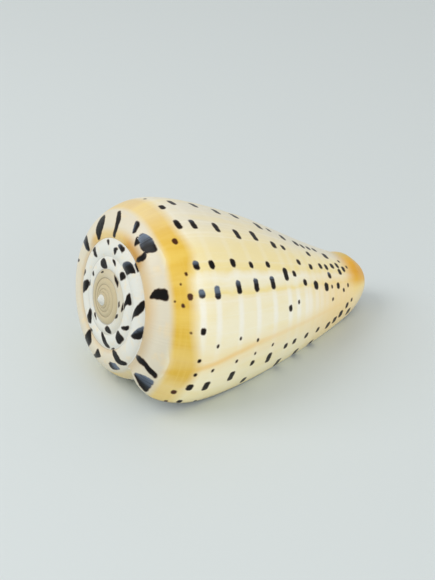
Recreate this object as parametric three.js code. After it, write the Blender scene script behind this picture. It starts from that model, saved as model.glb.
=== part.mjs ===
// A cone shell lying on its side: one closed solid, wound round a straight axis by a few growth rules.
// Lengths are in millimetres. Z is up and the origin is the middle of the footprint, at the ground.
//
// The shell's own axis starts at the apex. A point of the wall is given by
//   depth   its distance along the axis, from the apex towards the front tip
//   radius  its distance from the axis
//   turn    the growth stage in whole turns: 0 at the lip, -1 one whorl earlier, and so on
import * as THREE from 'three';

// Driving dimensions
const SHELL_LENGTH = 100;
const GROWTH_PER_TURN = 1.425;
const WALL = 2.3;
const LIP_THICKNESS = 1.1;
const LIP_ROUNDING = 0.37;
const OPEN_TURNS = 0.8;

// The spire: the suture's radius at the lip, the low cone of the early whorls, and the small point on top of it
const SUTURE_RADIUS = 21.8;
const APEX_HEIGHT = 1.2;
const APEX_RADIUS = 5;
const POINT_HEIGHT = 1.3;
const POINT_RADIUS = 1.8;
const SPIRE_SLOPE = 0.11;
const SPIRE_TURNS = 6;

// The section of the last whorl at the lip: ramp, rounded shoulder, long side and front tip
const SHOULDER = { depth: 21, radius: 35.9 };
const RAMP_RISE = { depth: -5.9, radius: 6.4 };
const SHOULDER_REACH = 9.8;
const SIDE_REACH = 17;
const FRONT = { depth: 91.5, radius: 13.2 };
const FRONT_SLOPE = -0.5;
const FRONT_REACH = 17.9;
const TIP_REACH = 2.9;
const TIP_RADIUS = 5.9;
const TIP_ROUND = 1.2;

// How the section changes on its way round. The body slides forward, it has a waist behind the front tip, and
// the early ramp is flatter. The lip's middle lies a little behind its ends, and its ramp has a notch beside
// the suture. The columella inside the mouth narrows towards the front.
const SLIDE_PER_TURN = 16.8;
const WAIST = { start: 52, middle: 90, end: 95, share: 0.14 };
const WAIST_START_TURN = 0.15;
const WAIST_END_TURN = 0.38;
const EARLY_RAMP_ARCH = 0.4;
const LIP_SETBACK_TURNS = 0.013;
const LIP_SETBACK_START = 8;
const LIP_NOTCH_TURNS = 0.022;
const NOTCH_RADIUS = 24.4;
const NOTCH_END_RADIUS = 34.5;
const SETBACK_FADE_TURNS = 0.25;
const COLUMELLA_TAPER = 0.5;
const TAPER_START_DEPTH = 45;
const TAPER_START_TURN = 0.55;
const TAPER_END_TURN = 1.3;
const LIP_THICKENING_TURNS = 0.12;

// The rest position: how far the axis tilts up towards the apex, and which growth angle faces down
const REST_TILT = THREE.MathUtils.degToRad(12.7);
const REST_ROLL = THREE.MathUtils.degToRad(-25.3);
const LIP_ANGLE = THREE.MathUtils.degToRad(21.3);

// Facets
const COLUMNS_PER_TURN = 48;
const SPIRE_ROWS = 3;
const SHOULDER_ROWS = 5;
const SIDE_ROWS = 13;
const TIP_ROWS = 4;
const CURVE_ACCURACY = 1e-9;

const SHELL_COLOUR = 0xf0d9a0;
const SHELL_ROUGHNESS = 0.3;

const attachRadius = SUTURE_RADIUS * GROWTH_PER_TURN;
const lastRow = SPIRE_ROWS + SHOULDER_ROWS + SIDE_ROWS + TIP_ROWS;
const firstColumn = -(SPIRE_TURNS + 1) * COLUMNS_PER_TURN;
const deepColumn = -Math.round(OPEN_TURNS * COLUMNS_PER_TURN);

const { clamp, lerp, smoothstep } = THREE.MathUtils;

// Depth of the spiral line where one whorl meets the next
function sutureDepth(turn) {
  const radius = SUTURE_RADIUS * GROWTH_PER_TURN ** turn;
  const cone = APEX_HEIGHT * (1 - Math.exp(-radius / APEX_RADIUS)) + SPIRE_SLOPE * radius;
  return cone - POINT_HEIGHT * Math.exp(-radius / POINT_RADIUS);
}

// The section at the lip as three curves. In them x is the depth and y the radius.
function lipSection() {
  const suture = new THREE.Vector2(sutureDepth(0), SUTURE_RADIUS);
  const shoulder = new THREE.Vector2(SHOULDER.depth, SHOULDER.radius);
  const front = new THREE.Vector2(FRONT.depth, FRONT.radius);
  const tip = new THREE.Vector2(SHELL_LENGTH, TIP_RADIUS);
  const ramp = new THREE.CubicBezierCurve(
    suture,
    new THREE.Vector2(suture.x + RAMP_RISE.depth, suture.y + RAMP_RISE.radius),
    new THREE.Vector2(shoulder.x - SHOULDER_REACH, shoulder.y),
    shoulder,
  );
  const side = new THREE.CubicBezierCurve(
    shoulder,
    new THREE.Vector2(shoulder.x + SIDE_REACH, shoulder.y),
    new THREE.Vector2(front.x - FRONT_REACH, front.y - FRONT_REACH * FRONT_SLOPE),
    front,
  );
  const end = new THREE.CubicBezierCurve(
    front,
    new THREE.Vector2(front.x + TIP_REACH, front.y + TIP_REACH * FRONT_SLOPE),
    new THREE.Vector2(tip.x, tip.y + TIP_ROUND),
    tip,
  );
  return { ramp, side, end };
}

// Where on the ramp the next whorl's suture will lie: the curve parameter, found by halving
function attachParameter(ramp) {
  let low = 0;
  let high = 1;
  while (high - low > CURVE_ACCURACY) {
    const middle = (low + high) / 2;
    if (ramp.getPoint(middle).y < attachRadius) low = middle;
    else high = middle;
  }
  return (low + high) / 2;
}

// The rows of the wall, from the suture to the front tip, as points of the lip section
function sectionRows() {
  const { ramp, side, end } = lipSection();
  const attach = attachParameter(ramp);
  const rows = [];
  for (let k = 0; k <= SPIRE_ROWS; k += 1) rows.push(ramp.getPoint((attach * k) / SPIRE_ROWS));
  for (let k = 1; k <= SHOULDER_ROWS; k += 1) {
    rows.push(ramp.getPoint(attach + ((1 - attach) * k) / SHOULDER_ROWS));
  }
  for (let k = 1; k <= SIDE_ROWS; k += 1) rows.push(side.getPoint(k / SIDE_ROWS));
  for (let k = 1; k <= TIP_ROWS; k += 1) rows.push(end.getPoint(k / TIP_ROWS));
  return rows;
}

const rows = sectionRows();
const attachRow = rows[SPIRE_ROWS];

// How far a row of the body slides forward in one turn. The early whorl's top meets the suture exactly.
function slide(row) {
  const wave = (depth) => SLIDE_PER_TURN * Math.sin((Math.PI * depth) / SHELL_LENGTH);
  const correction = attachRow.x - sutureDepth(0) - wave(attachRow.x);
  return wave(row.x) + correction * (1 - smoothstep(row.x, attachRow.x, SHOULDER.depth));
}

// Depth of a ramp row: between this whorl's suture and the next one's, arched as at the lip
function rampDepth(row, turn) {
  const across = (row.y - SUTURE_RADIUS) / (attachRadius - SUTURE_RADIUS);
  const arch = row.x - lerp(sutureDepth(0), attachRow.x, across);
  const inner = sutureDepth(turn);
  if (turn < -1) {
    const outer = sutureDepth(turn + 1);
    return lerp(inner, outer, across) + arch * EARLY_RAMP_ARCH * GROWTH_PER_TURN ** (turn + 1);
  }
  const outer = lerp(sutureDepth(0), attachRow.x, 1 + turn);
  return lerp(inner, outer, across) + arch * lerp(EARLY_RAMP_ARCH, 1, (1 + turn) ** 2);
}

// Depth of a body row. Before the last whorl its upper part shrinks towards the suture, and its tip stays.
function bodyDepth(row, turn) {
  if (turn >= -1) return row.x + slide(row) * turn;
  const shrink = GROWTH_PER_TURN ** ((turn + 1) * (1 - smoothstep(row.x, SHOULDER.depth, SHELL_LENGTH)));
  return sutureDepth(turn + 1) + (row.x - slide(row) - sutureDepth(0)) * shrink;
}

// How much narrower the waist and the columella make a row. The lip has neither.
function narrowing(row, turn) {
  const waist = smoothstep(row.x, WAIST.start, WAIST.middle) * (1 - smoothstep(row.x, WAIST.middle, WAIST.end));
  const pastLip = smoothstep(-turn, WAIST_START_TURN, WAIST_END_TURN);
  const along = smoothstep(row.x, TAPER_START_DEPTH, SHELL_LENGTH);
  const inside = smoothstep(-turn, TAPER_START_TURN, TAPER_END_TURN);
  return (1 - WAIST.share * waist * pastLip) * (1 - COLUMELLA_TAPER * along * inside);
}

// Depth and radius of a row of the wall's outer face at any growth stage
function wallPoint(rowIndex, turn) {
  const row = rows[rowIndex];
  const depth = rowIndex <= SPIRE_ROWS ? rampDepth(row, turn) : bodyDepth(row, turn);
  return new THREE.Vector2(depth, row.y * GROWTH_PER_TURN ** turn * narrowing(row, turn));
}

// How far back the lip's notch reaches on a ramp row
function notch(row) {
  if (row.x >= SHOULDER.depth) return 0;
  const opening = smoothstep(row.y, SUTURE_RADIUS, NOTCH_RADIUS);
  return LIP_NOTCH_TURNS * opening * (1 - smoothstep(row.y, NOTCH_RADIUS, NOTCH_END_RADIUS));
}

// The lip lies back in its middle and in its notch, and the columns just before it bend with it
function bentTurn(rowIndex, turn) {
  const row = rows[rowIndex];
  const along = clamp((row.x - LIP_SETBACK_START) / (SHELL_LENGTH - LIP_SETBACK_START), 0, 1);
  const nearLip = clamp(1 + turn / SETBACK_FADE_TURNS, 0, 1);
  return turn - (LIP_SETBACK_TURNS * Math.sin(Math.PI * along) + notch(row)) * nearLip;
}

// The wall's inner face: the outer face moved inwards across the section, thinner at the lip
function innerPoint(rowIndex, turn) {
  const here = wallPoint(rowIndex, turn);
  const before = wallPoint(Math.max(rowIndex - 1, 0), turn);
  const after = wallPoint(Math.min(rowIndex + 1, lastRow), turn);
  const tangent = after.sub(before).normalize();
  const thickness = lerp(LIP_THICKNESS, WALL, smoothstep(-turn, 0, LIP_THICKENING_TURNS));
  return here.add(new THREE.Vector2(tangent.y, -tangent.x).multiplyScalar(thickness));
}

// The shell's own frame: the axis along Z with the apex on top, and the growth angle about it
function place(point, turn) {
  const angle = LIP_ANGLE - 2 * Math.PI * turn;
  return new THREE.Vector3(point.y * Math.cos(angle), point.y * Math.sin(angle), -point.x);
}

// Collects the solid's points and faces. Faces that have shrunk to a line are left out.
class Faces {
  constructor() {
    this.positions = [];
    this.index = [];
    this.named = new Map();
  }

  point(name, make) {
    if (!this.named.has(name)) {
      this.named.set(name, this.positions.length / 3);
      this.positions.push(...make().toArray());
    }
    return this.named.get(name);
  }

  triangle(a, b, c) {
    if (a !== b && b !== c && c !== a) this.index.push(a, b, c);
  }

  quad(a, b, c, d) {
    this.triangle(a, b, c);
    this.triangle(a, c, d);
  }

  distance(a, b) {
    const from = new THREE.Vector3().fromArray(this.positions, a * 3);
    return from.distanceTo(new THREE.Vector3().fromArray(this.positions, b * 3));
  }

  geometry() {
    const geometry = new THREE.BufferGeometry();
    geometry.setAttribute('position', new THREE.Float32BufferAttribute(this.positions, 3));
    geometry.setIndex(this.index);
    return geometry;
  }
}

// A point of the outer face. A suture point belongs to two whorls, so it goes by the older one's name.
function outer(faces, column, rowIndex) {
  if (rowIndex === 0 && column - COLUMNS_PER_TURN >= firstColumn) {
    return outer(faces, column - COLUMNS_PER_TURN, SPIRE_ROWS);
  }
  if (rowIndex === 0) return faces.point('apex', () => new THREE.Vector3(0, 0, POINT_HEIGHT));
  const named = column === firstColumn ? SPIRE_ROWS : rowIndex;
  const turn = bentTurn(named, column / COLUMNS_PER_TURN);
  return faces.point(`outer ${column} ${named}`, () => place(wallPoint(named, turn), turn));
}

// A point of the inner face. Its first row runs along the older whorl, just under the suture.
function inner(faces, column, rowIndex) {
  if (rowIndex === 0) return outer(faces, column - COLUMNS_PER_TURN, SPIRE_ROWS + 1);
  const turn = bentTurn(rowIndex, column / COLUMNS_PER_TURN);
  return faces.point(`inner ${column} ${rowIndex}`, () => place(innerPoint(rowIndex, turn), turn));
}

// The rounded edge between the two faces
function edge(faces, column, rowIndex) {
  if (rowIndex === 0) return outer(faces, column, 0);
  const turn = bentTurn(rowIndex, column / COLUMNS_PER_TURN);
  return faces.point(`edge ${column} ${rowIndex}`, () => {
    const middle = wallPoint(rowIndex, turn).add(innerPoint(rowIndex, turn)).divideScalar(2);
    if (rowIndex < lastRow) return place(middle, turn + LIP_ROUNDING / (2 * Math.PI * middle.y));
    return place(middle.add(new THREE.Vector2(0, -LIP_ROUNDING)), turn);
  });
}

// Spire and last whorl, outside
function addOuterFace(faces) {
  for (let column = firstColumn; column < 0; column += 1) {
    const rowCount = column < -COLUMNS_PER_TURN ? SPIRE_ROWS : lastRow;
    for (let row = 0; row < rowCount; row += 1) {
      faces.quad(
        outer(faces, column, row),
        outer(faces, column + 1, row),
        outer(faces, column + 1, row + 1),
        outer(faces, column, row + 1),
      );
    }
  }
}

// The mouth's two walls: the older whorl and columella on one side, the last whorl's inside on the other
function addMouth(faces) {
  for (let column = deepColumn; column < 0; column += 1) {
    const older = column - COLUMNS_PER_TURN;
    for (let row = SPIRE_ROWS + 1; row < lastRow; row += 1) {
      faces.quad(
        outer(faces, older, row),
        outer(faces, older + 1, row),
        outer(faces, older + 1, row + 1),
        outer(faces, older, row + 1),
      );
    }
    for (let row = 0; row < lastRow; row += 1) {
      faces.quad(
        inner(faces, column, row),
        inner(faces, column, row + 1),
        inner(faces, column + 1, row + 1),
        inner(faces, column + 1, row),
      );
    }
  }
}

// The free edge: along the lip from the suture to the tip, then back round the tip
function addLip(faces) {
  const stations = [];
  for (let row = 0; row <= lastRow; row += 1) stations.push([0, row]);
  for (let column = -1; column >= deepColumn; column -= 1) stations.push([column, lastRow]);
  for (let k = 1; k < stations.length; k += 1) {
    const [before, here] = [stations[k - 1], stations[k]];
    faces.quad(outer(faces, ...here), outer(faces, ...before), edge(faces, ...before), edge(faces, ...here));
    faces.quad(edge(faces, ...here), edge(faces, ...before), inner(faces, ...before), inner(faces, ...here));
  }
}

// The wall that ends the mouth deep inside, joined row by row from the suture to the tip
function addMouthEnd(faces) {
  const older = deepColumn - COLUMNS_PER_TURN;
  let near = SPIRE_ROWS + 1;
  let far = 0;
  while (near < lastRow || far < lastRow) {
    const nearPoint = outer(faces, older, near);
    const farPoint = inner(faces, deepColumn, far);
    const nextNear = near < lastRow ? outer(faces, older, near + 1) : null;
    const nextFar = far < lastRow ? inner(faces, deepColumn, far + 1) : null;
    const stepNear = nextNear === null ? Infinity : faces.distance(nextNear, farPoint);
    const stepFar = nextFar === null ? Infinity : faces.distance(nextFar, nearPoint);
    if (stepNear < stepFar) {
      faces.triangle(farPoint, nearPoint, nextNear);
      near += 1;
    } else {
      faces.triangle(farPoint, nearPoint, nextFar);
      far += 1;
    }
  }
}

// The blunt front end of the columella, and the small step where the last whorl has passed it
function addFrontEnd(faces) {
  const centre = faces.point('front', () => new THREE.Vector3(0, 0, -SHELL_LENGTH));
  const older = deepColumn - COLUMNS_PER_TURN;
  for (let column = older; column < deepColumn; column += 1) {
    faces.triangle(centre, outer(faces, column, lastRow), outer(faces, column + 1, lastRow));
  }
  const end = [
    outer(faces, older, lastRow),
    inner(faces, deepColumn, lastRow),
    edge(faces, deepColumn, lastRow),
    outer(faces, deepColumn, lastRow),
  ];
  for (let k = 1; k < end.length; k += 1) faces.triangle(centre, end[k], end[k - 1]);
}

function shellGeometry() {
  const faces = new Faces();
  addOuterFace(faces);
  addMouth(faces);
  addLip(faces);
  addMouthEnd(faces);
  addFrontEnd(faces);
  return faces.geometry();
}

// Lays the shell on its side with the apex towards -X, and puts the footprint's middle at the origin
function layDown(mesh) {
  const axis = new THREE.Vector3(-Math.cos(REST_TILT), 0, Math.sin(REST_TILT));
  const down = new THREE.Vector3(-Math.sin(REST_TILT), 0, -Math.cos(REST_TILT));
  const across = new THREE.Vector3().crossVectors(axis, down);
  const zeroAngle = down.clone().applyAxisAngle(axis, -REST_ROLL);
  const quarterAngle = across.clone().applyAxisAngle(axis, -REST_ROLL);
  const turned = new THREE.Matrix4().makeBasis(zeroAngle, quarterAngle, axis);
  mesh.quaternion.setFromRotationMatrix(turned);
  mesh.updateMatrixWorld();
  const box = new THREE.Box3().setFromObject(mesh, true);
  const middle = box.getCenter(new THREE.Vector3());
  mesh.position.set(-middle.x, -middle.y, -box.min.z);
}

const material = new THREE.MeshStandardMaterial({ color: SHELL_COLOUR, roughness: SHELL_ROUGHNESS, metalness: 0 });
const shell = new THREE.Mesh(shellGeometry(), material);
shell.name = 'cone_shell';
layDown(shell);

const group = new THREE.Group();
group.add(shell);

export default group;
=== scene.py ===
# %% [markdown]
# # A cone shell in porcelain colours
#
# A cone shell grows by adding wall at its lip, round and round one axis, a little larger with each turn. This
# lesson rebuilds it the same way. We draw the section of the wall once, as it is at the lip, and let a few
# growth rules carry it back to the apex. Every mark on the shell was made at the lip too, so the marks get
# the same two coordinates as the wall: how far back in growth, and how far along the section.
#
# Lengths are in millimetres until the mesh is made. The frame, from the solid model, is in metres.

# %% Load the frame
import math

import bpy
import numpy as np
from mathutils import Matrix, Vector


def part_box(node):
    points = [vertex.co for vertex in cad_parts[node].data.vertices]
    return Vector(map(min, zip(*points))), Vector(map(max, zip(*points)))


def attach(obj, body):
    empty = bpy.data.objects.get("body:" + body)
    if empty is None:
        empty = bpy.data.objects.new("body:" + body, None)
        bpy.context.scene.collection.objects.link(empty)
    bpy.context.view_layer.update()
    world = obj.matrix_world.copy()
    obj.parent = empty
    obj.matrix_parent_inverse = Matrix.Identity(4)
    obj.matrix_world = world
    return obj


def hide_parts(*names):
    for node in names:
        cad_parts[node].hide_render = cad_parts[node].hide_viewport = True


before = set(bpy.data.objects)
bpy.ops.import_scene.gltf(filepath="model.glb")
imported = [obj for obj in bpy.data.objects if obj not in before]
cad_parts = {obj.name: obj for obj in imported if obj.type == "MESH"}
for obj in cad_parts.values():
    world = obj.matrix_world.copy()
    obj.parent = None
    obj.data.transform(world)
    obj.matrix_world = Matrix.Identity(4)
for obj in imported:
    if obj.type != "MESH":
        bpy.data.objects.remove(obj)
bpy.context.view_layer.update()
MM = 0.001
NODE = "cone_shell"
solid_low, solid_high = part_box(NODE)
print("solid box in mm:", [round(v / MM, 2) for v in (*solid_low, *solid_high)])

# %% [markdown]
# ## The section at the lip
#
# The real lip is one line from the suture, over the shoulder and down the long side to the front tip. Three
# cubic curves are enough for it. A drawn list of points would give the same outline, but it couldn't be
# changed by moving one handle.

# %% The section's sizes
SHELL_LENGTH = 100.0
GROWTH_PER_TURN = 1.425
SUTURE_RADIUS = 21.8
APEX_HEIGHT = 1.2
APEX_RADIUS = 5.0
POINT_HEIGHT = 1.3
POINT_RADIUS = 1.5
SPIRE_SLOPE = 0.11
SHOULDER = (21.0, 35.9)
RAMP_RISE = (-5.9, 6.4)
SHOULDER_REACH = 9.8
SIDE_REACH = 17.0
FRONT = (91.5, 13.2)
FRONT_SLOPE = -0.5
FRONT_REACH = 17.9
TIP_REACH = 2.9
TIP_RADIUS = 5.9
TIP_ROUND = 1.2
attach_radius = SUTURE_RADIUS * GROWTH_PER_TURN


def suture_depth(turn):
    """How deep below the apex the line lies where one whorl meets the next."""
    radius = SUTURE_RADIUS * GROWTH_PER_TURN ** np.asarray(turn, float)
    cone = APEX_HEIGHT * (1.0 - np.exp(-radius / APEX_RADIUS)) + SPIRE_SLOPE * radius
    return cone - POINT_HEIGHT * np.exp(-((radius / POINT_RADIUS) ** 2.0))


def curve(points, count):
    """Points along a cubic curve, its first one left out, as rows of (depth, radius)."""
    t = (np.arange(1, count + 1) / count)[:, None]
    a, b, c, d = (np.array(p, float) for p in points)
    return (1 - t) ** 3 * a + 3 * t * (1 - t) ** 2 * b + 3 * t * t * (1 - t) * c + t ** 3 * d


# %% The three curves
suture = (float(suture_depth(0.0)), SUTURE_RADIUS)
RAMP = (
    suture,
    (suture[0] + RAMP_RISE[0], suture[1] + RAMP_RISE[1]),
    (SHOULDER[0] - SHOULDER_REACH, SHOULDER[1]),
    SHOULDER,
)
SIDE = (
    SHOULDER,
    (SHOULDER[0] + SIDE_REACH, SHOULDER[1]),
    (FRONT[0] - FRONT_REACH, FRONT[1] - FRONT_REACH * FRONT_SLOPE),
    FRONT,
)
TIP = (
    FRONT,
    (FRONT[0] + TIP_REACH, FRONT[1] + TIP_REACH * FRONT_SLOPE),
    (SHELL_LENGTH, TIP_RADIUS + TIP_ROUND),
    (SHELL_LENGTH, TIP_RADIUS),
)

# %% [markdown]
# ## Rows along the section
#
# The rows run round the shell like the lines of a screw. One of them has to lie exactly where the next whorl
# will sit on this one, because there the two whorls share their points. We trace the ramp finely, find the
# place with the right radius, and spread the rows evenly on both sides of it.

# %% Rows
SPIRE_ROWS = 12
SHOULDER_ROWS = 18
SIDE_ROWS = 66
TIP_ROWS = 12
TRACE_STEPS = 2000


def evenly(line, count):
    """The line's own points spread evenly by length, its first one left out."""
    length = np.concatenate([[0.0], np.cumsum(np.hypot(*np.diff(line, axis=0).T))])
    wanted = np.linspace(0.0, length[-1], count + 1)[1:]
    return np.stack([np.interp(wanted, length, line[:, k]) for k in (0, 1)], axis=1)


ramp_line = np.vstack([[suture], curve(RAMP, TRACE_STEPS)])
attach_index = int(np.searchsorted(ramp_line[:, 1], attach_radius))
rows = np.vstack([
    [suture],
    evenly(ramp_line[:attach_index + 1], SPIRE_ROWS),
    evenly(ramp_line[attach_index:], SHOULDER_ROWS),
    evenly(np.vstack([[SHOULDER], curve(SIDE, TRACE_STEPS)]), SIDE_ROWS),
    evenly(np.vstack([[FRONT], curve(TIP, TRACE_STEPS)]), TIP_ROWS),
])
rows[SPIRE_ROWS, 1] = attach_radius
row_depth, row_radius = rows.T
row_along = np.concatenate([[0.0], np.cumsum(np.hypot(*np.diff(rows, axis=0).T))])
last_row = len(rows) - 1
attach_depth = float(row_depth[SPIRE_ROWS])
print("rows:", last_row + 1, "section length:", round(float(row_along[-1]), 1), "mm")

# %% [markdown]
# ## The growth rules
#
# In one turn everything shrinks by the same factor on the way back to the apex. On top of that the body
# slides forward over the older whorl, and it has a waist behind the front tip. The early ramps are flatter
# than the last one, and inside the mouth the columella narrows towards the front. Each rule is one short
# function of the row and the growth stage.

# %% How the section changes
SLIDE_PER_TURN = 16.8
WAIST_START, WAIST_MIDDLE, WAIST_END = 52.0, 90.0, 95.0
WAIST_SHARE = 0.14
WAIST_START_TURN = 0.15
WAIST_END_TURN = 0.38
EARLY_RAMP_ARCH = 0.4
COLUMELLA_TAPER = 0.5
TAPER_START_DEPTH = 45.0
TAPER_START_TURN = 0.55
TAPER_END_TURN = 1.3


def smoothstep(value, low, high):
    share = np.clip((value - low) / (high - low), 0.0, 1.0)
    return share * share * (3.0 - 2.0 * share)


def mix(a, b, share):
    return a + (b - a) * share


def slide(depth):
    """How far a row moves forward in one turn. The early whorl's top meets the suture exactly."""
    wave = SLIDE_PER_TURN * np.sin(np.pi * depth / SHELL_LENGTH)
    wave_there = SLIDE_PER_TURN * math.sin(math.pi * attach_depth / SHELL_LENGTH)
    correction = attach_depth - suture[0] - wave_there
    return wave + correction * (1.0 - smoothstep(depth, attach_depth, SHOULDER[0]))


def ramp_depth(row, turn):
    """Depth on the ramp, between this whorl's suture and the next one's."""
    across = (row_radius[row] - SUTURE_RADIUS) / (attach_radius - SUTURE_RADIUS)
    arch = row_depth[row] - mix(suture[0], attach_depth, across)
    early = turn < -1.0
    scale = GROWTH_PER_TURN ** np.minimum(turn + 1.0, 0.0)
    late_arch = mix(EARLY_RAMP_ARCH, 1.0, np.clip(1.0 + turn, 0.0, 1.0) ** 2)
    outer = np.where(early, suture_depth(turn + 1.0), mix(suture[0], attach_depth, 1.0 + turn))
    bend = np.where(early, EARLY_RAMP_ARCH * scale, late_arch)
    return mix(suture_depth(turn), outer, across) + arch * bend


def body_depth(row, turn):
    """Depth on the body. Before the last whorl its upper part shrinks towards the suture."""
    depth = row_depth[row]
    keep = smoothstep(depth, SHOULDER[0], SHELL_LENGTH)
    shrink = GROWTH_PER_TURN ** ((turn + 1.0) * (1.0 - keep))
    older = suture_depth(turn + 1.0) + (depth - slide(depth) - suture[0]) * shrink
    return np.where(turn >= -1.0, depth + slide(depth) * turn, older)


def narrowing(row, turn):
    """How much narrower the waist and the columella make a row. The lip has neither."""
    depth = row_depth[row]
    waist = smoothstep(depth, WAIST_START, WAIST_MIDDLE) * (1.0 - smoothstep(depth, WAIST_MIDDLE, WAIST_END))
    past_lip = smoothstep(-turn, WAIST_START_TURN, WAIST_END_TURN)
    along = smoothstep(depth, TAPER_START_DEPTH, SHELL_LENGTH)
    inside = smoothstep(-turn, TAPER_START_TURN, TAPER_END_TURN)
    return (1.0 - WAIST_SHARE * waist * past_lip) * (1.0 - COLUMELLA_TAPER * along * inside)


def wall_point(row, turn):
    """Depth and radius of the wall's outside at any row and growth stage."""
    depth = np.where(row <= SPIRE_ROWS, ramp_depth(row, turn), body_depth(row, turn))
    radius = row_radius[row] * GROWTH_PER_TURN ** turn * narrowing(row, turn)
    return np.stack([depth, radius], axis=-1)


# %% [markdown]
# ## The lip and the wall's thickness
#
# The lip of this kind is thin and its middle lies a little behind its two ends. The wall gets thicker on the
# way in. Both are rules again: one bends the columns near the lip, the other moves the outside's points
# inwards, across the section.

# %% Lip and wall
WALL = 2.3
LIP_THICKNESS = 1.1
LIP_THICKENING_TURNS = 0.12
LIP_SETBACK_TURNS = 0.013
LIP_SETBACK_START = 8.0
LIP_NOTCH_TURNS = 0.022
NOTCH_RADIUS = 24.4
NOTCH_END_RADIUS = 34.5
SETBACK_FADE_TURNS = 0.25
LIP_ANGLE = math.radians(21.3)


def notch(row):
    """How far back the lip's notch reaches on a ramp row."""
    opening = smoothstep(row_radius[row], SUTURE_RADIUS, NOTCH_RADIUS)
    closing = 1.0 - smoothstep(row_radius[row], NOTCH_RADIUS, NOTCH_END_RADIUS)
    return np.where(row_depth[row] < SHOULDER[0], LIP_NOTCH_TURNS * opening * closing, 0.0)


def bent_turn(row, turn):
    """The lip lies back in its middle and in its notch, and the columns just before it bend with it."""
    reach = SHELL_LENGTH - LIP_SETBACK_START
    along = np.clip((row_depth[row] - LIP_SETBACK_START) / reach, 0.0, 1.0)
    near_lip = np.clip(1.0 + turn / SETBACK_FADE_TURNS, 0.0, 1.0)
    return turn - (LIP_SETBACK_TURNS * np.sin(np.pi * along) + notch(row)) * near_lip


def inner_point(row, turn):
    tangent = wall_point(np.minimum(row + 1, last_row), turn) - wall_point(np.maximum(row - 1, 0), turn)
    tangent /= np.linalg.norm(tangent, axis=-1, keepdims=True)
    thickness = mix(LIP_THICKNESS, WALL, smoothstep(-turn, 0.0, LIP_THICKENING_TURNS))
    normal = np.stack([tangent[..., 1], -tangent[..., 0]], axis=-1)
    return wall_point(row, turn) + normal * thickness[..., None]


def place(point, turn):
    """The shell's own frame: the axis along Z with the apex on top, and the growth angle about it."""
    angle = LIP_ANGLE - 2.0 * np.pi * turn
    depth, radius = point[..., 0], point[..., 1]
    return np.stack([radius * np.cos(angle), radius * np.sin(angle), -depth], axis=-1)


# %% [markdown]
# ## One closed mesh
#
# A seashell is one piece, so its mesh is one too: outside, mouth, lip and the blunt front end. Each point has
# a name made of its column (how far back in growth) and its row (how far along the section). The suture's
# points belong to two whorls, so there the younger whorl borrows the older one's points.

# %% Number the points
COLUMNS_PER_TURN = 216
SPIRE_TURNS = 9
OPEN_TURNS = 0.8
LIP_STEPS = 4
first_column = -(SPIRE_TURNS + 1) * COLUMNS_PER_TURN
deep_column = -round(OPEN_TURNS * COLUMNS_PER_TURN)
columns = np.arange(first_column, 1)
points = []


def add_points(placed):
    """Adds points and returns their numbers."""
    start = sum(len(p) for p in points)
    points.append(placed)
    return start + np.arange(len(placed))


def add_wall(mask, first, face_point):
    """Numbers for the wall's points where the mask is true, in a grid of columns and rows."""
    grid = np.full(mask.shape, -1)
    at_column, at_row = np.nonzero(mask)
    turn = bent_turn(at_row, (at_column + first) / COLUMNS_PER_TURN)
    grid[at_column, at_row] = add_points(place(face_point(at_row, turn), turn))
    return grid


# %% The outside's points
apex = int(add_points(np.array([[0.0, 0.0, POINT_HEIGHT]]))[0])
outside = np.zeros((len(columns), last_row + 1), bool)
outside[1:, 1:SPIRE_ROWS + 1] = True
outside[0, SPIRE_ROWS] = True
in_last_whorl = columns >= -COLUMNS_PER_TURN
in_older_wall = (columns >= deep_column - COLUMNS_PER_TURN) & (columns <= -COLUMNS_PER_TURN)
outside[in_last_whorl | in_older_wall, SPIRE_ROWS + 1:] = True
outer = add_wall(outside, first_column, wall_point)
outer[0, 1:SPIRE_ROWS + 1] = outer[0, SPIRE_ROWS]
outer[COLUMNS_PER_TURN:, 0] = outer[:-COLUMNS_PER_TURN, SPIRE_ROWS]
outer[:COLUMNS_PER_TURN, 0] = apex

# %% The inside's points
inside = np.ones((1 - deep_column, last_row + 1), bool)
inside[:, 0] = False
inner = add_wall(inside, deep_column, inner_point)
inner[:, 0] = outer[deep_column - first_column - COLUMNS_PER_TURN:len(columns) - COLUMNS_PER_TURN,
                    SPIRE_ROWS + 1]
print("points so far:", sum(len(p) for p in points))

# %% [markdown]
# ## The faces
#
# Faces are made from whole grids at once. With each corner we keep its growth stage, its place along the
# section and whether it is outside. A corner keeps its own values, so two whorls can share a point on the
# suture and still be painted differently.

# %% Collect faces
face_points = []
face_turns = []
face_alongs = []
face_outside = []


def add_triangles(numbers, turns, alongs, is_outside):
    """Adds triangles as rows of three corners, and leaves out those that have shrunk to a line."""
    a, b, c = numbers.T
    good = (a != b) & (b != c) & (c != a)
    face_points.append(numbers[good])
    face_turns.append(turns[good])
    face_alongs.append(alongs[good])
    face_outside.append(np.full(int(good.sum()), float(is_outside)))


def add_grid(grid, turns, alongs, is_outside, flip=False):
    """Two triangles for each cell of a grid of point numbers."""
    def corners(values):
        four = [values[:-1, :-1], values[1:, :-1], values[1:, 1:], values[:-1, 1:]]
        four = [v.reshape(-1) for v in four]
        if flip:
            four.reverse()
        a, b, c, d = four
        return np.concatenate([np.stack([a, b, c], axis=1), np.stack([a, c, d], axis=1)])
    add_triangles(corners(grid), corners(turns), corners(alongs), is_outside)


def stage_grids(first, count, row_numbers):
    """The growth stage and the place along the section for a grid of columns and rows."""
    stage, row = np.meshgrid(np.arange(first, first + count), row_numbers, indexing="ij")
    return bent_turn(row, stage / COLUMNS_PER_TURN), row_along[row]


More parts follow.
